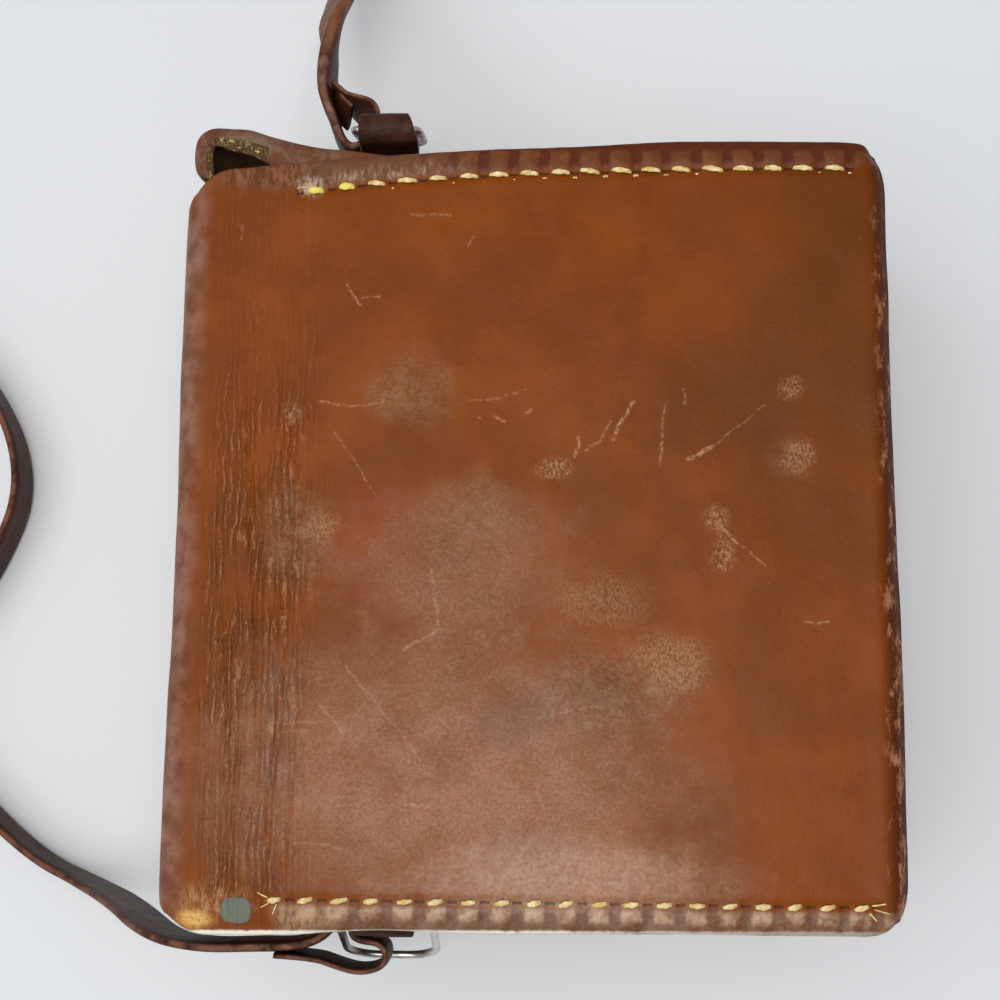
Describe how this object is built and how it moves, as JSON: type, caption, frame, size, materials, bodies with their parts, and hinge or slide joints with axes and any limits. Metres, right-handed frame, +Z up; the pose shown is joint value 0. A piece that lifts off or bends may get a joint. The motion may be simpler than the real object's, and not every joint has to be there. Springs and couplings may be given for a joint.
{
  "type": "leather camera case",
  "caption": "Stitched leather case with hinged lid, press-stud flap, side lugs with wire rings and a shoulder strap.",
  "frame": {"origin": "centre of the bounding box without the strap, at its lowest face, which the closed front flap lies on", "axes": "+X from the lid to the base along the case's height, +Y across its width from its right side to its left side, +Z up out of its back, as it lies on its front"},
  "size_m": [0.2654, 0.2935, 0.0766],
  "materials": {
    "leather_tan": "worn, satin",
    "leather_dark": "worn, satin",
    "leather_strap": "worn, satin",
    "steel": "dull nickel on steel wire",
    "brass": "tarnished",
    "thread": "waxed linen, yellowed"
  },
  "bodies": {
    "body": {"body_wrap": "leather_tan", "left_side_panel": "leather_tan", "right_side_panel": "leather_tan", "left_lug": "leather_dark", "right_lug": "leather_dark", "left_lug_rivets": "brass", "right_lug_rivets": "brass", "left_rivet_burrs": "brass", "right_rivet_burrs": "brass", "stud_post": "brass", "stud_washer": "brass", "back_seam_thread": "thread", "front_seam_thread": "thread", "base_seam_thread": "thread", "shoulder_strap": "leather_strap"},
    "lid": {"lid": "leather_tan"},
    "flap": {"front_flap": "leather_tan", "stud_cap": "steel", "stud_socket": "brass"},
    "left_ring": {"left_ring": "steel"},
    "right_ring": {"right_ring": "steel"}
  },
  "joints": [
    {"name": "lid_hinge", "type": "hinge", "parent": "body", "child": "lid", "pos_m": [-0.055, -0.00185, 0.076], "axis": [0, 1, 0], "range_deg": [0, 120]},
    {"name": "flap_hinge", "type": "hinge", "parent": "lid", "child": "flap", "pos_m": [-0.061, -0.00185, 0], "axis": [0, 1, 0], "range_deg": [-1.2, 100]},
    {"name": "left_ring_swing", "type": "hinge", "parent": "body", "child": "left_ring", "pos_m": [-0.0295, 0.08117, 0.064], "axis": [1, 0, 0], "range_deg": [-15, 185], "deforming": ["shoulder_strap"]},
    {"name": "right_ring_swing", "type": "hinge", "parent": "body", "child": "right_ring", "pos_m": [-0.0281, -0.07825, 0.064], "axis": [-1, 0, 0], "range_deg": [-12, 150], "deforming": ["shoulder_strap"]}
  ]
}
